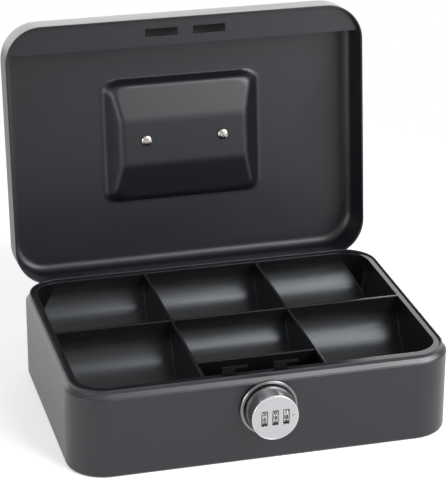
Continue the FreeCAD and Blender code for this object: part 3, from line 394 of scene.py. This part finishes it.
FINISHES = {
    case_paint: ["base_shell"],
    lid_paint: ["lid_shell"],
    strip_paint: ["lid_latch_strip"],
    hinge_paint: ["base_hinge_leaf", "lid_hinge_leaf", "lid_hinge_backing"],
    tray_plastic: ["coin_tray"],
    latch_paint: ["latch_slide", "lock_case"],
    handle_paint: ["carry_handle", "handle_posts"],
    zinc: ["tray_clips", "hinge_pin", "lock_washer", "lock_nut", "drive_shaft", "cam_arm", "cam_screw",
           "wheel_axle", "detent_spring"],
    chrome: ["lock_knob"],
    flange_chrome: ["lock_housing"],
    nickel: ["handle_screws"],
    face_silver: ["knob_face_plate"],
    wheel_plastic: ["number_wheel_left", "number_wheel_middle", "number_wheel_right"],
}

for material, names in FINISHES.items():
    for name in names:
        mesh = nodes[name].data
        mesh.materials.clear()
        mesh.materials.append(material)


# Mesh helpers

WELD = 0.002 * MM
SHARP_ANGLE = math.radians(32)


def add_object(name, mesh, materials):
    piece = bpy.data.objects.new(name, mesh)
    bpy.context.scene.collection.objects.link(piece)
    for material in materials:
        mesh.materials.append(material)
    return piece


def as_mesh(work, name):
    """A mesh from working geometry, which is freed."""
    mesh = bpy.data.meshes.new(name)
    work.to_mesh(mesh)
    work.free()
    return mesh


def soft_mesh(work, name):
    """A smooth-shaded mesh that keeps its sharp edges, from working geometry, which is freed."""
    for face in work.faces:
        face.smooth = True
    mesh = as_mesh(work, name)
    if "custom_normal" in mesh.attributes:
        mesh.attributes.remove(mesh.attributes["custom_normal"])
    mesh.set_sharp_from_angle(angle=SHARP_ANGLE)
    return mesh


def split_along(work, point, normal):
    """Divides all faces of the working geometry where a plane crosses them."""
    parts = list(work.verts) + list(work.edges) + list(work.faces)
    bmesh.ops.bisect_plane(work, geom=parts, plane_co=point, plane_no=normal)


def turned_shell(work, profile, segments):
    """Turns a closed profile of (radius, along) pairs about the X axis; gives the faces of each band."""
    rings = []
    bands = []
    for radius, along in profile:
        ring = []
        for step in range(segments):
            angle = 2 * math.pi * step / segments
            ring.append(work.verts.new((along, radius * math.cos(angle), radius * math.sin(angle))))
        rings.append(ring)
    for index, ring in enumerate(rings):
        following = rings[(index + 1) % len(rings)]
        band = []
        for step in range(segments):
            after = (step + 1) % segments
            band.append(work.faces.new((ring[step], ring[after], following[after], following[step])))
        bands.append(band)
    return bands


# Dressed lid

SHEET = 1.0 * MM
RECESS_Y = -0.5 * MM
RECESS_LENGTH = 108.6 * MM
RECESS_WIDTH = 84.8 * MM
RECESS_STEP = 5.5 * MM
RECESS_DEPTH = 11.0 * MM
STEP_INSET = 3.2 * MM
END_SLOPE = 1.0
SIDE_SLOPE = RECESS_STEP / STEP_INSET
FACET_SLOPE = 0.2245
CORNER_BLEND = 13.0 * MM
FLOOR_BLEND = 0.6 * MM
CREST_BLEND = 2.2 * MM
RIM_BLEND = 1.4 * MM
PATCH_MARGIN = 5.0 * MM
PATCH_STEP = 1.2 * MM
PATCH_HALF_X = RECESS_LENGTH / 2 + PATCH_MARGIN
PATCH_HALF_Y = RECESS_WIDTH / 2 + PATCH_MARGIN
SHADE_INDEX = 1
RECESS_INDEX = 2


def lid_opening():
    """Takes the shut lid's coordinates to those of the open lid at rest."""
    hinge = joint_named("lid_hinge")
    pivot = Vector(hinge["pos_m"])
    swing = math.radians(-hinge["range_deg"][0])
    turn = Matrix.Rotation(swing, 4, Vector(hinge["axis"]))
    return Matrix.Translation(pivot) @ turn @ Matrix.Translation(-pivot)


opening = lid_opening()


def shut_corners(node):
    """Lowest and highest corner of a lid node with the lid shut."""
    closing = opening.inverted()
    places = [closing @ vertex.co for vertex in nodes[node].data.vertices]
    return [Vector([pick(place[axis] for place in places) for axis in range(3)]) for pick in (min, max)]


def soft_min(first, second, blend):
    """The smaller of two heights, rounded over where they nearly meet."""
    share = max(blend - abs(first - second), 0.0) / blend
    return min(first, second) - share * share * blend / 4


def recess_depth(x, y, inset):
    """Depth of the pressed recess below the lid's flat top, with soft bends and round corners."""
    across = abs(y - RECESS_Y)
    end_wall = (RECESS_LENGTH / 2 + inset - abs(x)) * END_SLOPE
    side_wall = (RECESS_WIDTH / 2 + inset - across) * SIDE_SLOPE
    wall = soft_min(end_wall, side_wall, CORNER_BLEND)
    facet = RECESS_STEP + (RECESS_WIDTH / 2 - STEP_INSET + inset - across) * FACET_SLOPE
    floor = soft_min(facet, RECESS_DEPTH, FLOOR_BLEND)
    pan = soft_min(wall, floor, CREST_BLEND)
    return -soft_min(-pan, 0.0, RIM_BLEND)


def in_patch(place):
    return abs(place.x) < PATCH_HALF_X and abs(place.y - RECESS_Y) < PATCH_HALF_Y


def add_patch(work, height, facing_up):
    """A fine grid over the recess that follows one side of the sheet."""
    columns = round(2 * PATCH_HALF_X / PATCH_STEP)
    rows = round(2 * PATCH_HALF_Y / PATCH_STEP)
    grid = []
    for row in range(rows + 1):
        y = RECESS_Y + PATCH_HALF_Y * (2 * row / rows - 1)
        line = []
        for column in range(columns + 1):
            x = PATCH_HALF_X * (2 * column / columns - 1)
            line.append(work.verts.new((x, y, height(x, y))))
        grid.append(line)
    for lower, upper in zip(grid, grid[1:]):
        for column in range(columns):
            corners = [lower[column], lower[column + 1], upper[column + 1], upper[column]]
            work.faces.new(corners if facing_up else corners[::-1])


def dressed_lid():
    """The lid shell with its recess as one soft pressing, and painted shade behind the strip: a thin black
    coat on the inside there.
    """
    work = bmesh.new()
    work.from_mesh(nodes["lid_shell"].data)
    bmesh.ops.remove_doubles(work, verts=work.verts, dist=WELD)
    bmesh.ops.transform(work, matrix=opening.inverted(), verts=work.verts)
    top = max(vertex.co.z for vertex in work.verts)
    shade_end = shut_corners("lid_latch_strip")[1].y - SHEET
    for x in (-PATCH_HALF_X, PATCH_HALF_X):
        split_along(work, (x, 0, 0), (1, 0, 0))
    for y in (RECESS_Y - PATCH_HALF_Y, RECESS_Y + PATCH_HALF_Y, shade_end):
        split_along(work, (0, y, 0), (0, 1, 0))
    pressed = [face for face in work.faces if in_patch(face.calc_center_median())]
    bmesh.ops.delete(work, geom=pressed, context="FACES")
    add_patch(work, lambda x, y: top - recess_depth(x, y, 0.0), True)
    add_patch(work, lambda x, y: top - SHEET - recess_depth(x, y, SHEET), False)
    work.normal_update()
    inside = Vector((0, 0, top - 2 * RECESS_DEPTH))
    for face in work.faces:
        middle = face.calc_center_median()
        # Inner faces in front of this end get the black painted shade.
        if middle.y < shade_end and face.normal.dot(middle - inside) < 0:
            face.material_index = SHADE_INDEX
        elif in_patch(middle):
            face.material_index = RECESS_INDEX
    bmesh.ops.transform(work, matrix=opening, verts=work.verts)
    mesh = soft_mesh(work, "dressed_lid")
    lid = add_object("dressed_lid", mesh, [lid_paint, painted_shade_coat, recess_paint])
    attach(lid, "lid")
    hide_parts("lid_shell")


dressed_lid()


# Dressed screws

HEAD_RADIUS = 3.8 * MM
HEAD_HEIGHT = 2.3 * MM
HEAD_RIM = 0.9 * MM
SHANK_RADIUS = 1.9 * MM
CROSS_WIDTH = 0.95 * MM
CROSS_REACH = 2.1 * MM
CROSS_DEPTH = 1.3 * MM
HEAD_SEGMENTS = 48
DOME_STEPS = 8
SCREW_PITCH = 54.6 * MM
LEFT_TWIST = 0.55
RIGHT_TWIST = 0.2


def cut_away(target, cutters):
    """The target mesh with the cutter meshes taken out of it."""
    holder = bpy.data.objects.new("cut_target", target)
    bpy.context.scene.collection.objects.link(holder)
    tools = []
    for mesh in cutters:
        tool = bpy.data.objects.new("cut_tool", mesh)
        bpy.context.scene.collection.objects.link(tool)
        tools.append(tool)
        cut = holder.modifiers.new("cut", "BOOLEAN")
        cut.object = tool
        cut.operation = "DIFFERENCE"
        cut.solver = "EXACT"
    shown = holder.evaluated_get(bpy.context.evaluated_depsgraph_get())
    result = bpy.data.meshes.new_from_object(shown)
    for used in [holder] + tools:
        bpy.data.objects.remove(used)
    return result


def block_mesh(low, high):
    work = bmesh.new()
    size = Vector(high) - Vector(low)
    place = Matrix.Translation((Vector(low) + Vector(high)) / 2) @ Matrix.Diagonal((*size, 1.0))
    bmesh.ops.create_cube(work, size=1.0, matrix=place)
    return as_mesh(work, "cut_block")


def pan_head(shank_length):
    """A domed pan head with a cross recess and its shank; the head looks along -X from x = 0."""
    work = bmesh.new()
    profile = [
        (0.0, shank_length),
        (SHANK_RADIUS, shank_length),
        (SHANK_RADIUS, 0.0),
        (HEAD_RADIUS, 0.0),
    ]
    for step in range(DOME_STEPS + 1):
        angle = math.pi / 2 * step / DOME_STEPS
        along = HEAD_RIM + (HEAD_HEIGHT - HEAD_RIM) * math.sin(angle)
        profile.append((HEAD_RADIUS * math.cos(angle), -along))
    turned_shell(work, profile, HEAD_SEGMENTS)
    bmesh.ops.remove_doubles(work, verts=work.verts, dist=WELD)
    bmesh.ops.recalc_face_normals(work, faces=work.faces)
    bars = []
    for reach_y, reach_z in ((CROSS_WIDTH / 2, CROSS_REACH), (CROSS_REACH, CROSS_WIDTH / 2)):
        bars.append(block_mesh((-2 * HEAD_HEIGHT, -reach_y, -reach_z),
                               (CROSS_DEPTH - HEAD_HEIGHT, reach_y, reach_z)))
    return cut_away(as_mesh(work, "pan_head"), bars)


def dressed_screws():
    """Two pan-head screws in the recess, each turned a little differently."""
    low, high = shut_corners("handle_screws")
    shank = high.z - low.z - HEAD_HEIGHT
    work = bmesh.new()
    middle = (low + high) / 2
    upright = Matrix.Rotation(-math.pi / 2, 4, "Y")
    for offset, twist in ((-SCREW_PITCH / 2, LEFT_TWIST), (SCREW_PITCH / 2, RIGHT_TWIST)):
        head = pan_head(shank)
        place = Matrix.Translation((middle.x + offset, middle.y, low.z + HEAD_HEIGHT))
        head.transform(opening @ place @ upright @ Matrix.Rotation(twist, 4, "X"))
        work.from_mesh(head)
        bpy.data.meshes.remove(head)
    screws = add_object("dressed_screws", soft_mesh(work, "dressed_screws"), [nickel])
    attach(screws, "lid")
    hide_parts("handle_screws")


dressed_screws()


# Dressed number wheels

DIGITS = 10
DIGIT_HEIGHT = 3.15 * MM
DIGIT_WEIGHT = 0.05
DIGIT_SLICE = 0.25 * MM
DIGIT_WELD = 0.001 * MM
DRUM_SEGMENTS = 80
DRUM_BEVEL = 0.3 * MM
DRUM_BORE = 1.25 * MM
DRUM_BAND = 2
WHEEL_WELD = 0.0005 * MM
INK_LIFT = 0.012 * MM
INK_INDEX = 1
DIGITS_SHOWN = {"left": 6, "middle": 9, "right": 8}


def digit_outline(digit):
    """A filled plain digit as a flat mesh, centred, DIGIT_HEIGHT tall."""
    text = bpy.data.curves.new("digit", "FONT")
    text.body = str(digit)
    text.size = 1.0
    text.offset = DIGIT_WEIGHT
    holder = bpy.data.objects.new("digit", text)
    bpy.context.scene.collection.objects.link(holder)
    flat = bpy.data.meshes.new_from_object(holder.evaluated_get(bpy.context.evaluated_depsgraph_get()))
    bpy.data.objects.remove(holder)
    bpy.data.curves.remove(text)
    lows = [min(vertex.co[axis] for vertex in flat.vertices) for axis in (0, 1)]
    highs = [max(vertex.co[axis] for vertex in flat.vertices) for axis in (0, 1)]
    centre = Vector(((lows[0] + highs[0]) / 2, (lows[1] + highs[1]) / 2, 0.0))
    size = DIGIT_HEIGHT / (highs[1] - lows[1])
    flat.transform(Matrix.Scale(size, 4) @ Matrix.Translation(-centre))
    return flat


def sliced_digit(digit):
    """A flat digit cut into narrow bands so that it can follow the drum."""
    flat = digit_outline(digit)
    work = bmesh.new()
    work.from_mesh(flat)
    bpy.data.meshes.remove(flat)
    bmesh.ops.remove_doubles(work, verts=work.verts, dist=DIGIT_WELD)
    level = -DIGIT_HEIGHT / 2 + DIGIT_SLICE
    while level < DIGIT_HEIGHT / 2:
        split_along(work, (0, level, 0), (0, 1, 0))
        level += DIGIT_SLICE
    return work


def cut_notches(work):
    """Draws the drum's rim in at one place between each digit and the next."""
    notch_every = DRUM_SEGMENTS // DIGITS
    for vertex in work.verts:
        angle = math.atan2(vertex.co.z, vertex.co.y)
        step = round(angle / (2 * math.pi) * DRUM_SEGMENTS) % DRUM_SEGMENTS
        reach = math.hypot(vertex.co.y, vertex.co.z)
        if step % notch_every == notch_every // 2 and reach > DRUM_BORE * 2:
            vertex.co.y *= 1 - DRUM_BEVEL / reach
            vertex.co.z *= 1 - DRUM_BEVEL / reach


def ink_digits(work, radius, shown):
    """Lays ten digits around the drum, with the shown one at the front."""
    reach = radius + INK_LIFT
    for digit in range(DIGITS):
        ink = sliced_digit(digit)
        turn = (shown - digit) * 2 * math.pi / DIGITS
        for face in ink.faces:
            corners = []
            for vertex in face.verts:
                angle = vertex.co.y / radius + turn
                place = (vertex.co.x, -reach * math.cos(angle), reach * math.sin(angle))
                corners.append(work.verts.new(place))
            work.faces.new(corners).material_index = INK_INDEX
        ink.free()


def dressed_wheel(side, shown):
    """A number wheel with dark sides, bevelled rims, a grip notch between digits and ten inked digits."""
    node = "number_wheel_" + side
    low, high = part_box(node)
    half = (high[0] - low[0]) / 2
    radius = (high[2] - low[2]) / 2 - INK_LIFT
    work = bmesh.new()
    bands = turned_shell(work, [
        (DRUM_BORE, -half),
        (radius - DRUM_BEVEL, -half),
        (radius, -half + DRUM_BEVEL),
        (radius, half - DRUM_BEVEL),
        (radius - DRUM_BEVEL, half),
        (DRUM_BORE, half),
    ], DRUM_SEGMENTS)
    for index, band in enumerate(bands):
        for face in band:
            face.material_index = 0 if index == DRUM_BAND else INK_INDEX
    cut_notches(work)
    ink_digits(work, radius, shown)
    bmesh.ops.remove_doubles(work, verts=work.verts, dist=WHEEL_WELD)
    bmesh.ops.recalc_face_normals(work, faces=[face for band in bands for face in band])
    mesh = as_mesh(work, "dressed_wheel_" + side)
    mesh.transform(Matrix.Translation((Vector(low) + Vector(high)) / 2))
    wheel = add_object("dressed_wheel_" + side, mesh, [wheel_plastic, digit_ink])
    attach(wheel, "wheel_" + side)
    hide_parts(node)


for side, shown in DIGITS_SHOWN.items():
    dressed_wheel(side, shown)


# Mark on the knob's face

MARK_PLACE = 11.4 * MM
MARK_RISE = 0.7 * MM
MARK_LENGTH = 1.5 * MM
MARK_WIDTH = 0.55 * MM
MARK_LIFT = 0.03 * MM
MARK_STEPS = 10


def index_mark():
    """A small inked mark with round ends beside the right window of the knob's face."""
    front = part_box("knob_face_plate")[0][1]
    work = bmesh.new()
    outline = []
    for side in (1, -1):
        for step in range(MARK_STEPS + 1):
            angle = math.pi * (step / MARK_STEPS - 0.5)
            x = side * ((MARK_LENGTH - MARK_WIDTH) / 2 + MARK_WIDTH / 2 * math.cos(angle))
            outline.append((x, side * MARK_WIDTH / 2 * math.sin(angle)))
    centre = Vector((lock_axis.x + MARK_PLACE, front - MARK_LIFT, lock_axis.z + MARK_RISE))
    crown = work.verts.new(centre)
    rim = [work.verts.new(centre + Vector((x, MARK_LIFT, z))) for x, z in outline]
    for step, corner in enumerate(rim):
        work.faces.new((crown, rim[(step + 1) % len(rim)], corner))
    mark = add_object("index_mark", soft_mesh(work, "index_mark"), [digit_ink])
    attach(mark, "knob")


index_mark()


# White studio

FLOOR_HALF_WIDTH = 1.6
FLOOR_FRONT = -0.55
FLOOR_BACK = 1.7
FLOOR_DROP = 0.05 * MM
FLOOR_DARK = (0.90, 0.90, 0.90)
FLOOR_LIGHT = (0.92, 0.92, 0.92)
FLOOR_GLOW = 0.48
FADE_START = 0.3
FADE_END = 0.55
ROOM_COLOUR = (0.95, 0.97, 1.0, 1.0)
ROOM_LEVEL = 0.26


def seen_share(tree):
    """1 for rays that show the background: from the camera, off gloss or through glass."""
    path = tree.nodes.new("ShaderNodeLightPath")
    share = path.outputs["Is Camera Ray"]
    for kind in ("Is Glossy Ray", "Is Transmission Ray"):
        larger = tree.nodes.new("ShaderNodeMath")
        larger.operation = "MAXIMUM"
        tree.links.new(share, larger.inputs[0])
        tree.links.new(path.outputs[kind], larger.inputs[1])
        share = larger.outputs["Value"]
    return share


def fade_to_white(paint, seen):
    """Far from the object the floor is seen as plain white, so its edge never shows."""
    far = paint.between(paint.length(paint.place), FADE_START, FADE_END, smooth=True)
    white = paint.add("ShaderNodeEmission")
    white.inputs["Color"].default_value = WHITE
    mix = paint.add("ShaderNodeMixShader")
    paint.link(paint.calc("MULTIPLY", seen, far), mix.inputs["Fac"])
    paint.link(paint.shader.outputs["BSDF"], mix.inputs[1])
    paint.link(white.outputs["Emission"], mix.inputs[2])
    paint.link(mix.outputs["Shader"], paint.tree.nodes["Material Output"].inputs["Surface"])


def make_floor():
    work = bmesh.new()
    corners = [(-FLOOR_HALF_WIDTH, FLOOR_FRONT), (FLOOR_HALF_WIDTH, FLOOR_FRONT),
               (FLOOR_HALF_WIDTH, FLOOR_BACK), (-FLOOR_HALF_WIDTH, FLOOR_BACK)]
    work.faces.new([work.verts.new((x, y, -FLOOR_DROP)) for x, y in corners])
    paint = Painter("studio_floor")
    tone = paint.ramp(paint.noise(scale=1.5), (NOISE_LOW, FLOOR_DARK), (NOISE_HIGH, FLOOR_LIGHT))
    seen = seen_share(paint.tree)
    paint.feed(Base_Color=tone, Emission_Strength=paint.calc("MULTIPLY", seen, FLOOR_GLOW))
    paint.fixed(Roughness=0.9, Specular_IOR_Level=0.1, Emission_Color=WHITE)
    fade_to_white(paint, seen)
    add_object("studio_floor", as_mesh(work, "studio_floor"), [paint.material])


def make_world():
    """A dim room that is seen as plain white."""
    world = bpy.data.worlds.new("studio_room")
    bpy.context.scene.world = world
    world.use_nodes = True
    tree = world.node_tree
    room = tree.nodes["Background"]
    room.inputs["Color"].default_value = ROOM_COLOUR
    room.inputs["Strength"].default_value = ROOM_LEVEL
    white = tree.nodes.new("ShaderNodeBackground")
    white.inputs["Color"].default_value = WHITE
    white.inputs["Strength"].default_value = 1.0
    mix = tree.nodes.new("ShaderNodeMixShader")
    tree.links.new(seen_share(tree), mix.inputs["Fac"])
    tree.links.new(room.outputs["Background"], mix.inputs[1])
    tree.links.new(white.outputs["Background"], mix.inputs[2])
    tree.links.new(mix.outputs["Shader"], tree.nodes["World Output"].inputs["Surface"])


make_floor()
make_world()


# Light

SOFTBOXES = {
    "front_softbox": {
        "place": (1.07, -1.27, 1.2), "aim": (0.0, 0.0, 0.08), "size": (1.5, 1.02), "power": 50.0,
    },
    "right_panel": {
        "place": (0.95, -1.35, 0.22), "aim": (0.0, 0.0, 0.15), "size": (0.8, 0.4), "power": 4.5,
    },
    "left_softbox": {
        "place": (-1.55, -0.9, 0.42), "aim": (0.0, 0.0, 0.1), "size": (0.9, 0.8), "power": 13.0,
    },
    "back_glow": {
        "place": (0.0, 1.5, 0.5), "aim": (0.0, 0.0, 0.3), "size": (3.0, 1.0), "power": 17.0,
    },
}


def add_softbox(name, place, aim, size, power):
    light = bpy.data.lights.new(name, "AREA")
    light.shape = "RECTANGLE"
    light.size, light.size_y = size
    light.energy = power
    lamp = bpy.data.objects.new(name, light)
    bpy.context.scene.collection.objects.link(lamp)
    lamp.visible_camera = False
    lamp.location = place
    direction = Vector(aim) - Vector(place)
    lamp.rotation_euler = direction.to_track_quat("-Z", "Y").to_euler()


for name, settings in SOFTBOXES.items():
    add_softbox(name, **settings)


# Camera

IMAGE_WIDTH = 447
CAMERA_PLACE = Vector((-0.337659, -1.241098, 0.659531))
CAMERA_AIM = Vector((0.001449, 0.025133, 0.10242))
CAMERA_ROLL = 0.002947
CAMERA_REACH = 50.0
FOCAL_PIXELS = 2153.55
SENSOR_WIDTH = 36.0


def make_camera():
    lens = bpy.data.cameras.new("photo_camera")
    lens.sensor_fit = "HORIZONTAL"
    lens.sensor_width = SENSOR_WIDTH
    lens.lens = FOCAL_PIXELS / IMAGE_WIDTH * SENSOR_WIDTH
    lens.clip_end = CAMERA_REACH
    camera = bpy.data.objects.new("photo_camera", lens)
    bpy.context.scene.collection.objects.link(camera)
    forward = (CAMERA_AIM - CAMERA_PLACE).normalized()
    level_right = forward.cross(Vector((0, 0, 1))).normalized()
    level_up = level_right.cross(forward)
    right = math.cos(CAMERA_ROLL) * level_right + math.sin(CAMERA_ROLL) * level_up
    up = math.cos(CAMERA_ROLL) * level_up - math.sin(CAMERA_ROLL) * level_right
    turn = Matrix((right, up, -forward)).transposed().to_4x4()
    camera.matrix_world = Matrix.Translation(CAMERA_PLACE) @ turn
    bpy.context.scene.camera = camera


make_camera()
bpy.context.scene.view_settings.view_transform = "Standard"
